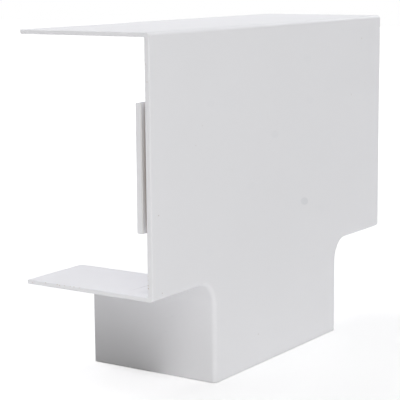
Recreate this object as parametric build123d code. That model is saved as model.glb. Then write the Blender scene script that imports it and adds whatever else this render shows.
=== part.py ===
from build123d import *

import os

# White PVC-U equal tee that slips over 100 x 60 mm cable trunking where a branch
# leaves the main. It is one moulding with a C section: a flat T-shaped face,
# flanges that reach back to the wall, three open mouths and an open back.
#
# Lengths are in millimetres. X runs along the main, Y from the face back to the
# wall and Z away from the branch. The origin is under the middle of the fitting,
# at the height of the branch mouth, on which it stands.

# Trunking that the three mouths slip over, its depth measured over the lid
trunking_width = 100.0
trunking_depth = 61.0
lid_thickness = 1.5

# Play left round the trunking, in front of its lid and round the end of the lid
side_play = 0.15
face_play = 0.1
lid_play = 0.2

# Walls of the moulding
face_wall = 2.4
flange_wall = 1.85

# How far the mouths stand out from the crossing of main and branch
run_reach = 43.5
branch_reach = 43.5

# Radii of the two inner corners of the T, of the long edges between face and
# flanges outside and inside, and of the broken outer edge round each mouth
bend_radius = 10.0
edge_radius = 1.9
root_radius = 0.5
rim_radius = 0.55

# Tongue behind the face at each mouth, which holds the end of the trunking's lid
tongue_width = 50.7
tongue_wall = 2.9
tongue_length = 16.0
tongue_foot = 3.0
tongue_radius = 0.3
tongue_nose_radius = 0.25

# Outer sizes that follow
channel_width = trunking_width + 2 * (side_play + flange_wall)
run_length = channel_width + 2 * run_reach
total_depth = face_wall + face_play + trunking_depth

# Places that follow
face_front = -total_depth / 2
face_back = face_front + face_wall
wall_plane = total_depth / 2
run_end = run_length / 2
run_axis = branch_reach + channel_width / 2
slot_depth = lid_thickness + lid_play

# How far a cutting solid runs past what it cuts, and the reach of "in this plane"
overrun = 5.0
touch = 0.001


def upright_plane(y):
    """Plane parallel to the face at depth y, seen from the wall, with Z up."""
    return Plane(origin=(0, y, 0), x_dir=(-1, 0, 0), z_dir=(0, 1, 0))


def tee_outline(inset, past_mouths):
    """The T of main and branch, inset from the outer skin and run on past the mouths."""
    width = channel_width - 2 * inset
    branch_length = run_axis + past_mouths
    with BuildSketch() as outline:
        with Locations((0, run_axis)):
            Rectangle(run_length + 2 * past_mouths, width)
        with Locations((0, run_axis - branch_length / 2)):
            Rectangle(width, branch_length)
        inner_corners = outline.vertices().group_by(Axis.Y)[1].sort_by(Axis.X)[1:-1]
        fillet(inner_corners, bend_radius + inset)
    return outline.sketch


def at_mouth(edge):
    """Whether an edge lies in the plane of a mouth, or beyond it."""
    middle = edge.center()
    return abs(middle.X) > run_end - touch or middle.Z < touch


def along_face(body):
    """The edges round the face side of a body, apart from those at the mouths."""
    face = body.faces().sort_by(Axis.Y)[0]
    return [edge for edge in face.edges() if not at_mouth(edge)]


def mouth_rims(body):
    """The edges round the three mouths, apart from those in the wall plane."""
    return [edge for edge in body.edges() if at_mouth(edge) and edge.center().Y < wall_plane - touch]


def outer_skin():
    """The whole outside as a solid, its long edges rounded and its mouths' edges broken."""
    body = extrude(upright_plane(face_front) * tee_outline(0, 0), total_depth)
    body = fillet(along_face(body), edge_radius)
    return fillet(mouth_rims(body), rim_radius)


def channel():
    """The room for the trunking, open at the three mouths and at the wall."""
    outline = upright_plane(face_back) * tee_outline(flange_wall, overrun)
    room = extrude(outline, wall_plane - face_back + overrun)
    return fillet(along_face(room), root_radius)


def tongue():
    """A tongue for a mouth in the plane X = 0 that opens towards -X."""
    blade_middle = face_back + slot_depth + tongue_wall / 2
    section = RectangleRounded(tongue_wall, tongue_width, tongue_radius)
    blade = extrude(Plane.YZ * Pos(blade_middle, 0) * section, tongue_length)
    nose = blade.faces().sort_by(Axis.X)[0].edges()
    blade = fillet(nose, tongue_nose_radius)
    foot_root = face_back - face_wall / 2
    foot = Box(
        tongue_foot,
        blade_middle - foot_root,
        tongue_width,
        align=(Align.MAX, Align.MIN, Align.CENTER),
    )
    return blade + Pos(tongue_length, foot_root, 0) * foot


def mouths():
    """Where each mouth is, with X pointing into the fitting: left, right and branch."""
    left = Pos(-run_end, 0, run_axis)
    right = Pos(run_end, 0, run_axis) * Rot(0, 180, 0)
    branch = Rot(0, -90, 0)
    return [left, right, branch]


def tee_cover():
    """The finished moulding."""
    body = outer_skin() - channel()
    for mouth in mouths():
        body += mouth * tongue()
    return body


os.makedirs("parts", exist_ok=True)
export_step(tee_cover(), "parts/tee_cover.step")
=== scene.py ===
import math

import bmesh
import bpy
from mathutils import Matrix, Vector


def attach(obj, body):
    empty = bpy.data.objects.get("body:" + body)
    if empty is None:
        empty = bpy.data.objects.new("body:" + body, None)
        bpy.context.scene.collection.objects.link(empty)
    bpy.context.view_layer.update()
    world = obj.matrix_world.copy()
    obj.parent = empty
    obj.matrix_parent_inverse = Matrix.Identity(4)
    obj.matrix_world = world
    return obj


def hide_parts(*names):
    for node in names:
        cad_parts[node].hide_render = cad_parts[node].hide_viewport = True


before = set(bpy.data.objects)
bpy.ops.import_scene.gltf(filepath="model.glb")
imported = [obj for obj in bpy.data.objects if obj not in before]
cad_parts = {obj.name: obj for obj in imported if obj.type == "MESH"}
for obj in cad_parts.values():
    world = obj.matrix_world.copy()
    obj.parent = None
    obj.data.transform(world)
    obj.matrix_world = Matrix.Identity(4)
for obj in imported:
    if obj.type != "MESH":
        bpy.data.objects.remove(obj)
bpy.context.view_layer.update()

MM = 0.001
TOUCH = 0.002 * MM

# Sizes of the moulding, the same as in its solid
run_end = 95.5 * MM
run_axis = 95.5 * MM
half_width = 52.0 * MM
face_front = -31.75 * MM
wall_plane = 31.75 * MM
face_wall = 2.4 * MM
flange_wall = 1.85 * MM
bend_radius = 10.0 * MM
edge_radius = 1.9 * MM
root_radius = 0.5 * MM
rim_radius = 0.55 * MM
slot_depth = 1.7 * MM
tongue_width = 50.7 * MM
tongue_wall = 2.9 * MM
tongue_length = 16.0 * MM
tongue_foot = 3.0 * MM
tongue_radius = 0.3 * MM
face_back = face_front + face_wall
blade_front = face_back + slot_depth
blade_back = blade_front + tongue_wall
flange_top = run_axis - half_width + flange_wall

# Radii that a steel mould leaves on the edges that aren't meant to be round
crisp_radius = 0.15 * MM
inner_rim_radius = 0.3 * MM

# How finely the bends, the long edges and the small edges are divided
bend_steps = 16
edge_steps = 8
rim_steps = 4

# A face that looks straight back, by its normal, and a corner sharp enough for a radius
straight_back = 0.999
sharp_corner = math.radians(40)

# The photograph's camera: where it stands, which way it looks and its lens
camera_place = Vector((-521.2, -342.1, 171.8)) * MM
camera_azimuth = math.radians(55.93)
camera_drop = math.radians(9.49)
camera_roll = math.radians(-0.50)
camera_lens = 126.0
sensor_width = 36.0
nearest_seen = 10 * MM

# The plastic: its colour, how much it bends light, and how its tone and its gloss vary,
# each with the size of its patches
pvc_colour = (0.842, 0.843, 0.868)
light_bending = 1.53
tone_range, tone_size = (0.993, 1.003), 60 * MM
roughness_range, roughness_size = (0.41, 0.49), 9 * MM

# Its fine mould grain and its slow waves: how wide and how high they are
grain_size, grain_height = 0.35 * MM, 0.006 * MM
wave_size, wave_height = 14 * MM, 0.02 * MM

# Colours of the marks on it and of its painted shade
smudge_grey = (0.29, 0.33, 0.39)
speck_brown = (0.30, 0.22, 0.13)
edge_dirt_brown = (0.42, 0.27, 0.10)
# Grey for the flange's fine line and for its patch of painted shade
line_and_painted_shade_grey = (0.20, 0.18, 0.22)
# Painted shade: grey along the left tongue's front edge, and warm brown deeper in its slot
tongue_edge_painted_shade_grey = (0.425, 0.396, 0.349)
slot_painted_warm_shade = (0.85, 0.49, 0.12)

# How far a mark reaches into the plastic, how much of a smudge is even before it fades,
# and the reach of a speck of dirt on the mouth's edge
mark_depth = 1.0 * MM
smudge_core = 0.75
edge_dirt_reach = (0.4 * MM, 0.4 * MM, 0.35 * MM)

# Faint grey-blue smudges on the face: where along X and Z in millimetres, half their width
# and height, how many degrees they tip down to the right and how much they cover
face_smudges = [
    (21.95, 66.6, 3.7, 1.9, 11, 0.135),
    (-4.1, 99.7, 3.6, 1.85, 8, 0.038),
    (-54.0, 117.2, 3.1, 1.7, 7, 0.020),
    (-55.5, 56.6, 3.1, 1.7, 14, 0.015),
    (26.4, 112.3, 3.8, 1.9, 6, 0.014),
    (24.3, 130.4, 3.8, 1.9, 5, 0.017),
    (-24.0, 79.8, 3.4, 1.8, 9, 0.011),
    (38.1, 61.1, 3.9, 1.9, 11, 0.011),
]

# Brown specks on the face: where along X and Z, half their width and height, and how
# much they cover
face_specks = [
    (76.0, 137.3, 0.50, 0.28, 0.45),
    (66.0, 111.3, 0.50, 0.60, 0.18),
    (-90.8, 77.2, 0.46, 0.28, 0.38),
    (-65.0, 101.5, 0.45, 0.26, 0.20),
    (-38.1, 88.3, 0.45, 0.26, 0.13),
    (-8.7, 81.9, 0.45, 0.26, 0.10),
    (30.7, 39.7, 0.45, 0.26, 0.13),
    (-17.8, 13.7, 0.50, 0.28, 0.34),
    (-60.1, 109.0, 0.45, 0.26, 0.20),
    (-89.0, 46.2, 0.50, 0.28, 0.30),
    (79.8, 115.8, 0.45, 0.26, 0.15),
]

# Brown specks along the edges of the left mouth and its lower flange: where along Y and Z,
# and how much they cover
mouth_specks = [
    (-29.6, 50.2, 0.40),
    (-29.7, 49.1, 0.44),
    (-29.6, 54.0, 0.20),
    (-29.6, 52.3, 0.16),
    (-29.8, 135.6, 0.25),
    (-30.6, 128.9, 0.18),
    (29.0, 44.4, 0.20),
    (22.0, 45.2, 0.32),
    (15.9, 45.15, 0.28),
    (14.7, 44.95, 0.30),
    (12.1, 45.15, 0.20),
    (9.2, 45.3, 0.24),
    (7.3, 45.3, 0.30),
    (4.4, 45.25, 0.20),
]

# Grey specks on the branch's left wall: where along Y and Z, half their width and height,
# and how much they cover
branch_specks = [
    (-10.1, 26.1, 0.80, 0.45, 0.055),
    (-18.0, 33.4, 0.50, 0.30, 0.060),
    (-6.7, 19.1, 0.55, 0.40, 0.050),
    (-2.7, 11.4, 0.45, 0.30, 0.050),
]

# A fine grey line on the left lower flange, its darker end, and a patch of painted shade by the
# face near the mouth: where along X and Y, half their length and width, how much of that is
# even, their turn in degrees and how much they cover
flange_lines_and_painted_shade = [
    (-84.2, -16.55, 7.6, 0.24, 0.5, -2, 0.14),
    (-80.4, -16.7, 3.8, 0.30, 0.5, -2, 0.22),
    (-88.0, -23.5, 4.4, 5.0, 0.2, 0, 0.06),
]

# Painted shade along the left tongue's front edge, and warm painted shade further in its slot:
# how far in from the mouth, their reach, how much of that is even and how much they cover
tongue_edge_painted_shade = (0.2 * MM, (1.0 * MM, 0.75 * MM, 48 * MM), 0.4, 0.31)
slot_painted_shade = (5 * MM, (5 * MM, 0.5 * MM, 45 * MM), 0.55, 0.17)

# The floor: its paper, and a painted shadow behind the branch, a near-black spot that gives back
# no light
floor_half_width = 3.0
paper_colour = (0.9, 0.9, 0.9, 1)
# Painted shadow on the floor behind the branch: its near-black colour, middle, reach and how
# much of it is even
painted_shadow_colour = (0.01, 0.01, 0.01, 1)
painted_shadow_middle = (-70 * MM, 44 * MM, 0)
painted_shadow_reach = (48 * MM, 56 * MM, 1.0)
painted_shadow_core = 0.8

# How bright the paper glows for the camera: near the fitting, and from a metre away
near_glow, far_glow = 0.355, 1.0
near_end, far_start = 0.25, 1.0

# The middle of the fitting, at which the lamps aim, and the pale room's glow
lamp_target = Vector((0, 0, 0.07))
room_glow = 0.15

# Soft lamps: their name, place and width in metres, power in watts and colour
soft_boxes = [
    ("over_left", (-0.6, 0.3, 1.5), 0.6, 2.5, (1, 1, 1)),
    ("high_front", (-0.1, -0.75, 1.35), 0.9, 2.3, (0.957, 0.957, 1)),
    ("high_back", (0.0, 0.9, 1.2), 1.0, 5.5, (0.953, 0.967, 1)),
    ("middle_back", (0.0, 1.3, 0.6), 0.8, 6.92, (1, 0.971, 0.988)),
    ("front_left", (-0.8, -0.8, 1.0), 0.7, 3.37, (1, 1, 0.97)),
    ("low_left", (-1.2, -0.85, 0.12), 0.4, 3.74, (1, 0.972, 0.915)),
    ("low_front", (-0.3, -1.4, 0.15), 0.5, 2.86, (0.99, 1, 0.985)),
    ("right", (1.25, -0.15, 0.9), 0.7, 4.94, (0.965, 0.973, 1)),
]

# White cards just over the floor: their name, left, right, front and back edge in
# millimetres, and how bright they look, where 1 is white
bounce_cards = [
    ("card_left", -160, -52.3, -110, -15, 0.154),
    ("card_front", -52.3, 200, -110, -32, 0.17),
    ("card_far_left", -320, -125, -20, 120, 0.432),
]
card_height = 0.5 * MM

# A Mix node's sockets for colours, by number, because it has others of the same names
mix_share, mix_under, mix_over, mix_result = 0, 6, 7, 2


def in_mouth(edge):
    """Whether an edge lies in the plane of one of the three open mouths."""
    middle = (edge.verts[0].co + edge.verts[1].co) / 2
    return abs(middle.x) > run_end - TOUCH or middle.z < TOUCH


def skin(inset, depth, long_radius, mouth_radius):
    """One skin of the moulding as an open shell: the T of the face at a depth, and
    the flanges that run back from it to the wall."""
    shell = bmesh.new()
    half = half_width - inset
    low, top = run_axis - half, run_axis + half
    corners = [
        (-run_end, low), (-half, low), (-half, 0), (half, 0),
        (half, low), (run_end, low), (run_end, top), (-run_end, top),
    ]
    points = [shell.verts.new((x, depth, z)) for x, z in corners]
    shell.faces.new(points)
    bmesh.ops.bevel(
        shell, geom=[points[1], points[4]], offset=bend_radius + inset, offset_type="OFFSET",
        segments=bend_steps, profile=0.5, affect="VERTICES", material=-1,
    )
    long_edges = [edge for edge in shell.edges if not in_mouth(edge)]
    grown = bmesh.ops.extrude_edge_only(shell, edges=long_edges)
    free_edge = [item for item in grown["geom"] if isinstance(item, bmesh.types.BMVert)]
    bmesh.ops.translate(shell, verts=free_edge, vec=(0, wall_plane - depth, 0))
    bmesh.ops.bevel(
        shell, geom=long_edges, offset=long_radius, offset_type="OFFSET",
        segments=edge_steps, profile=0.5, affect="EDGES", material=-1,
    )
    radius = shell.edges.layers.float.new("bevel_weight_edge")
    for edge in shell.edges:
        if edge.is_boundary:
            edge[radius] = (mouth_radius if in_mouth(edge) else crisp_radius) / rim_radius
    return shell


def walls():
    """The C section of the moulding: its outer and inner skin, joined round their edges."""
    outer = skin(0, face_front, edge_radius, rim_radius)
    inner = skin(flange_wall, face_back, root_radius, inner_rim_radius)
    bmesh.ops.reverse_faces(inner, faces=inner.faces[:])
    lining = bpy.data.meshes.new("lining")
    inner.to_mesh(lining)
    inner.free()
    outer.from_mesh(lining)
    bpy.data.meshes.remove(lining)
    bmesh.ops.bridge_loops(outer, edges=[edge for edge in outer.edges if edge.is_boundary])
    return outer


def inner_face(shell):
    """The flat faces that make up the inner side of the face."""
    return [
        face for face in shell.faces
        if face.normal.y > straight_back
        and abs(face.calc_center_median().y - face_back) < TOUCH
    ]


def nearest_face(faces, place):
    return min(faces, key=lambda face: (face.calc_center_median() - place).length)


def cut_inner_face(shell, place, direction):
    """Divides the inner side of the face along a plane, and nothing else."""
    faces = inner_face(shell)
    edges = [edge for edge in shell.edges if any(face in faces for face in edge.link_faces)]
    points = [point for point in shell.verts if any(face in faces for face in point.link_faces)]
    bmesh.ops.bisect_plane(
        shell, geom=faces + edges + points, dist=TOUCH, plane_co=place, plane_no=direction,
    )


def push_out(shell, face, step):
    """Extrudes one face by a step and returns the face that now ends it, and those round it."""
    grown = bmesh.ops.extrude_face_region(shell, geom=[face])["geom"]
    bmesh.ops.delete(shell, geom=[face], context="FACES_ONLY")
    points = [item for item in grown if isinstance(item, bmesh.types.BMVert)]
    bmesh.ops.translate(shell, verts=points, vec=step)
    shell.normal_update()
    end = [item for item in grown if isinstance(item, bmesh.types.BMFace)][0]
    sides = [side for edge in end.edges for side in edge.link_faces if side is not end]
    return end, sides


def grow_tongue(shell, mouth, inward, across):
    """A tongue for one mouth: its foot grows out of the face, and its blade from the foot."""
    foot_inner = mouth + inward * tongue_length
    foot_outer = mouth + inward * (tongue_length - tongue_foot)
    for place in (foot_inner, foot_outer):
        cut_inner_face(shell, place, inward)
    for place in (mouth - across * tongue_width / 2, mouth + across * tongue_width / 2):
        cut_inner_face(shell, place, across)
    foot_middle = (foot_inner + foot_outer) / 2
    foot = nearest_face(inner_face(shell), foot_middle)
    foot, _ = push_out(shell, foot, (0, slot_depth, 0))
    foot, sides = push_out(shell, foot, (0, tongue_wall, 0))
    blade_root = foot_outer + Vector((0, slot_depth + tongue_wall / 2, 0))
    push_out(shell, nearest_face(sides, blade_root), inward * (tongue_foot - tongue_length))


def on_tongue(edge):
    return all(blade_front - TOUCH < point.co.y < blade_back + TOUCH for point in edge.verts)


def soften_corners(shell):
    """Gives each sharp corner edge that has no radius yet the one it is moulded with."""
    radius = shell.edges.layers.float["bevel_weight_edge"]
    for edge in shell.edges:
        if edge[radius] == 0 and edge.calc_face_angle(0) > sharp_corner:
            edge[radius] = (tongue_radius if on_tongue(edge) else crisp_radius) / rim_radius


def tee_moulding():
    """The whole fitting, one closed moulding."""
    shell = walls()
    across_main, across_branch = Vector((0, 0, 1)), Vector((1, 0, 0))
    left_mouth = Vector((-run_end, face_back, run_axis))
    right_mouth = Vector((run_end, face_back, run_axis))
    branch_mouth = Vector((0, face_back, 0))
    grow_tongue(shell, left_mouth, across_branch, across_main)
    grow_tongue(shell, right_mouth, -across_branch, across_main)
    grow_tongue(shell, branch_mouth, across_main, across_branch)
    soften_corners(shell)
    for face in shell.faces:
        face.smooth = True
    mesh = bpy.data.meshes.new("tee_moulding")
    shell.to_mesh(mesh)
    shell.free()
    piece = bpy.data.objects.new("tee_moulding", mesh)
    bpy.context.scene.collection.objects.link(piece)
    edges = piece.modifiers.new("moulded_edges", "BEVEL")
    edges.limit_method = "WEIGHT"
    edges.width = rim_radius
    edges.segments = rim_steps
    edges.profile = 0.5
    edges.use_clamp_overlap = False
    flats = piece.modifiers.new("flat_faces", "WEIGHTED_NORMAL")
    flats.mode = "FACE_AREA"
    flats.weight = 90
    return piece


def add_node(tree, kind, sockets=None, **settings):
    """A node with its settings, and the fixed values of its sockets by name or number."""
    made = tree.nodes.new(kind)
    for name, value in settings.items():
        setattr(made, name, value)
    for name, value in (sockets or {}).items():
        made.inputs[name].default_value = value
    return made


def calculate(tree, operation, *values):
    """A Math node on sockets or numbers; returns its result."""
    made = add_node(tree, "ShaderNodeMath", operation=operation)
    for place, value in enumerate(values):
        if isinstance(value, (int, float)):
            made.inputs[place].default_value = value
        else:
            tree.links.new(value, made.inputs[place])
    return made.outputs[0]


def seen_rays(tree):
    """1 for rays that show a background: the camera's, and those off gloss and through glass."""
    path = add_node(tree, "ShaderNodeLightPath").outputs
    seen = calculate(tree, "MAXIMUM", path["Is Camera Ray"], path["Is Glossy Ray"])
    return calculate(tree, "MAXIMUM", seen, path["Is Transmission Ray"])


def object_space(tree):
    return add_node(tree, "ShaderNodeTexCoord").outputs["Object"]


def distance_from_middle(tree, space):
    length = add_node(tree, "ShaderNodeVectorMath", operation="LENGTH")
    tree.links.new(space, length.inputs[0])
    return length.outputs["Value"]


def spot(tree, space, middle, reach, core=0.55, turn=(0, 0, 0)):
    """1 inside an oval spot, fading to 0 at its reach. Its turn is in radians."""
    placed = add_node(
        tree, "ShaderNodeMapping", {"Location": middle, "Rotation": turn, "Scale": reach},
        vector_type="TEXTURE")
    tree.links.new(space, placed.inputs["Vector"])
    fade = add_node(
        tree, "ShaderNodeMapRange",
        {"From Min": core, "From Max": 1.0, "To Min": 1.0, "To Max": 0.0},
        interpolation_type="SMOOTHSTEP")
    tree.links.new(distance_from_middle(tree, placed.outputs[0]), fade.inputs["Value"])
    return fade.outputs["Result"]


def noise(tree, space, size, detail=2.0):
    """Soft noise whose grains are about this size."""
    made = add_node(tree, "ShaderNodeTexNoise", {"Scale": 1 / size, "Detail": detail})
    tree.links.new(space, made.inputs["Vector"])
    return made.outputs[0]


def spread(tree, value, low, high):
    """Noise brought to a range of values."""
    made = add_node(
        tree, "ShaderNodeMapRange",
        {"From Min": 0.3, "From Max": 0.7, "To Min": low, "To Max": high})
    tree.links.new(value, made.inputs["Value"])
    return made.outputs["Result"]


def stained(tree, colour, marks, stain):
    """A colour with marks or painted shade over it, each a spot and how much it covers."""
    covered = 0.0
    for mark, share in marks:
        covered = calculate(tree, "MULTIPLY_ADD", mark, share, covered)
    mix = add_node(tree, "ShaderNodeMix", {mix_over: (*stain, 1)}, data_type="RGBA")
    tree.links.new(covered, mix.inputs[mix_share])
    tree.links.new(colour, mix.inputs[mix_under])
    return mix.outputs[mix_result]


def marked(tree, space, colour):
    """The plastic's colour with its smudges, specks and fine line, painted shade on the left
    flange and along the left tongue's edge, and warm painted shade in the left slot.
    """
    smudges = [
        (spot(tree, space, (x * MM, face_front, z * MM), (wide * MM, mark_depth, high * MM),
              smudge_core, (0, math.radians(tip), 0)), share)
        for x, z, wide, high, tip, share in face_smudges
    ]
    smudges += [
        (spot(tree, space, (-half_width, y * MM, z * MM),
              (mark_depth, wide * MM, high * MM)), share)
        for y, z, wide, high, share in branch_specks
    ]
    specks = [
        (spot(tree, space, (x * MM, face_front, z * MM),
              (wide * MM, mark_depth, high * MM)), share)
        for x, z, wide, high, share in face_specks
    ]
    edge_dirt = [
        (spot(tree, space, (-run_end, y * MM, z * MM), edge_dirt_reach), share)
        for y, z, share in mouth_specks
    ]
    # A fine grey line on the flange, and a patch of painted shade by the face near the mouth
    lines_and_painted_shade = [
        (spot(tree, space, (x * MM, y * MM, flange_top), (long * MM, wide * MM, mark_depth),
              core, (0, 0, math.radians(turn))), share)
        for x, y, long, wide, core, turn, share in flange_lines_and_painted_shade
    ]
    # Painted shade along the left tongue's front edge, and warm painted shade in its slot
    painted_edge_shade, painted_slot_shade = [
        [(spot(tree, space, (-run_end + inward, blade_front, run_axis), reach, core), share)]
        for inward, reach, core, share in (tongue_edge_painted_shade, slot_painted_shade)
    ]
    colour = stained(tree, colour, smudges, smudge_grey)
    colour = stained(tree, colour, specks, speck_brown)
    colour = stained(tree, colour, edge_dirt, edge_dirt_brown)
    colour = stained(tree, colour, lines_and_painted_shade, line_and_painted_shade_grey)
    colour = stained(tree, colour, painted_edge_shade, tongue_edge_painted_shade_grey)
    # Warm painted shade in the left slot
    return stained(tree, colour, painted_slot_shade, slot_painted_warm_shade)


def white_pvc():
    """Satin white PVC: even colour, a fine mould grain, a few faint marks and some painted
    shade.
    """
    material = bpy.data.materials.new("white_pvc")
    material.use_nodes = True
    tree = material.node_tree
    shader = tree.nodes["Principled BSDF"]
    shader.inputs["IOR"].default_value = light_bending
    space = object_space(tree)

    colour = add_node(tree, "ShaderNodeVectorMath", operation="SCALE")
    colour.inputs[0].default_value = pvc_colour
    tone = spread(tree, noise(tree, space, tone_size), *tone_range)
    tree.links.new(tone, colour.inputs["Scale"])
    tree.links.new(marked(tree, space, colour.outputs[0]), shader.inputs["Base Color"])

    roughness = spread(tree, noise(tree, space, roughness_size), *roughness_range)
    tree.links.new(roughness, shader.inputs["Roughness"])

    grain = add_node(tree, "ShaderNodeBump", {"Strength": 1.0, "Distance": grain_height})
    tree.links.new(noise(tree, space, grain_size, 1.0), grain.inputs["Height"])
    waves = add_node(tree, "ShaderNodeBump", {"Strength": 1.0, "Distance": wave_height})
    tree.links.new(noise(tree, space, wave_size), waves.inputs["Height"])
    tree.links.new(grain.outputs[0], waves.inputs["Normal"])
    tree.links.new(waves.outputs[0], shader.inputs["Normal"])
    return material


def floor_paper():
    """Pale paper that looks white and keeps the fitting's soft shadow. Behind the branch it has
    a painted shadow, a near-black spot for unseen rays only, so that the branch's wall fades to
    a deeper grey."""
    material = bpy.data.materials.new("floor_paper")
    material.use_nodes = True
    tree = material.node_tree
    tree.nodes.clear()
    space = object_space(tree)
    seen = seen_rays(tree)
    unseen = calculate(tree, "SUBTRACT", 1.0, seen)
    # Painted shadow: a near-black spot behind the branch, for unseen rays only
    painted_floor_shadow = spot(tree, space, painted_shadow_middle, painted_shadow_reach, painted_shadow_core)
    paper = add_node(
        tree, "ShaderNodeMix", {mix_under: paper_colour, mix_over: painted_shadow_colour},
        data_type="RGBA")
    tree.links.new(calculate(tree, "MULTIPLY", painted_floor_shadow, unseen), paper.inputs[mix_share])
    matt = add_node(tree, "ShaderNodeBsdfDiffuse")
    tree.links.new(paper.outputs[mix_result], matt.inputs["Color"])
    glow = add_node(
        tree, "ShaderNodeMapRange",
        {"From Min": near_end, "From Max": far_start, "To Min": near_glow, "To Max": far_glow})
    tree.links.new(distance_from_middle(tree, space), glow.inputs["Value"])
    shine = add_node(tree, "ShaderNodeEmission")
    seen_glow = calculate(tree, "MULTIPLY", glow.outputs["Result"], seen)
    tree.links.new(seen_glow, shine.inputs["Strength"])
    both = add_node(tree, "ShaderNodeAddShader")
    tree.links.new(matt.outputs[0], both.inputs[0])
    tree.links.new(shine.outputs[0], both.inputs[1])
    out = add_node(tree, "ShaderNodeOutputMaterial")
    tree.links.new(both.outputs[0], out.inputs["Surface"])
    return material


def lay_floor():
    """A wide flat sheet under the fitting."""
    sheet = bmesh.new()
    bmesh.ops.create_grid(sheet, x_segments=1, y_segments=1, size=floor_half_width)
    mesh = bpy.data.meshes.new("floor")
    sheet.to_mesh(mesh)
    sheet.free()
    mesh.materials.append(floor_paper())
    floor = bpy.data.objects.new("floor", mesh)
    bpy.context.scene.collection.objects.link(floor)


def soft_box(name, place, width, power, colour):
    """A square lamp that faces the middle of the fitting."""
    data = bpy.data.lights.new(name, "AREA")
    data.shape = "SQUARE"
    data.size = width
    data.energy = power
    data.color = colour
    lamp = bpy.data.objects.new(name, data)
    turn = (lamp_target - Vector(place)).to_track_quat("-Z", "Y").to_matrix().to_4x4()
    lamp.matrix_world = Matrix.Translation(place) @ turn
    bpy.context.scene.collection.objects.link(lamp)


def bounce_card(name, left, right, front, back, glow):
    """A white card on the floor, unseen by the camera, which sends light up the fitting."""
    data = bpy.data.lights.new(name, "AREA")
    data.shape = "RECTANGLE"
    data.size = (right - left) * MM
    data.size_y = (back - front) * MM
    data.energy = glow * math.pi * data.size * data.size_y
    card = bpy.data.objects.new(name, data)
    middle = Vector(((left + right) / 2 * MM, (front + back) / 2 * MM, card_height))
    card.matrix_world = Matrix.Translation(middle) @ Matrix.Rotation(math.pi, 4, "X")
    card.visible_camera = False
    bpy.context.scene.collection.objects.link(card)


def light_room():
    """Soft lamps round the fitting, low cards at its front and left, and a pale room
    that looks white."""
    for lamp in soft_boxes:
        soft_box(*lamp)
    for card in bounce_cards:
        bounce_card(*card)
    world = bpy.data.worlds.new("room")
    bpy.context.scene.world = world
    world.use_nodes = True
    tree = world.node_tree
    tree.nodes.clear()
    white_light = (1, 1, 1, 1)
    room = add_node(
        tree, "ShaderNodeBackground", {"Color": white_light, "Strength": room_glow})
    white = add_node(tree, "ShaderNodeBackground", {"Color": white_light, "Strength": 1.0})
    mix = add_node(tree, "ShaderNodeMixShader")
    tree.links.new(seen_rays(tree), mix.inputs[0])
    tree.links.new(room.outputs[0], mix.inputs[1])
    tree.links.new(white.outputs[0], mix.inputs[2])
    out = add_node(tree, "ShaderNodeOutputWorld")
    tree.links.new(mix.outputs[0], out.inputs["Surface"])


def place_camera():
    """A long lens from the left front, a little above the fitting's top."""
    data = bpy.data.cameras.new("camera")
    data.lens = camera_lens
    data.sensor_width = sensor_width
    data.clip_start = nearest_seen
    camera = bpy.data.objects.new("camera", data)
    turn = Matrix.Rotation(-camera_azimuth, 4, "Z")
    tip = Matrix.Rotation(math.pi / 2 - camera_drop, 4, "X")
    roll = Matrix.Rotation(camera_roll, 4, "Z")
    camera.matrix_world = Matrix.Translation(camera_place) @ turn @ tip @ roll
    bpy.context.scene.collection.objects.link(camera)
    bpy.context.scene.camera = camera


bpy.context.scene.view_settings.view_transform = "Standard"
place_camera()
light_room()
lay_floor()

cover = tee_moulding()
cover.data.materials.append(white_pvc())
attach(cover, "root")
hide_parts("tee_cover")
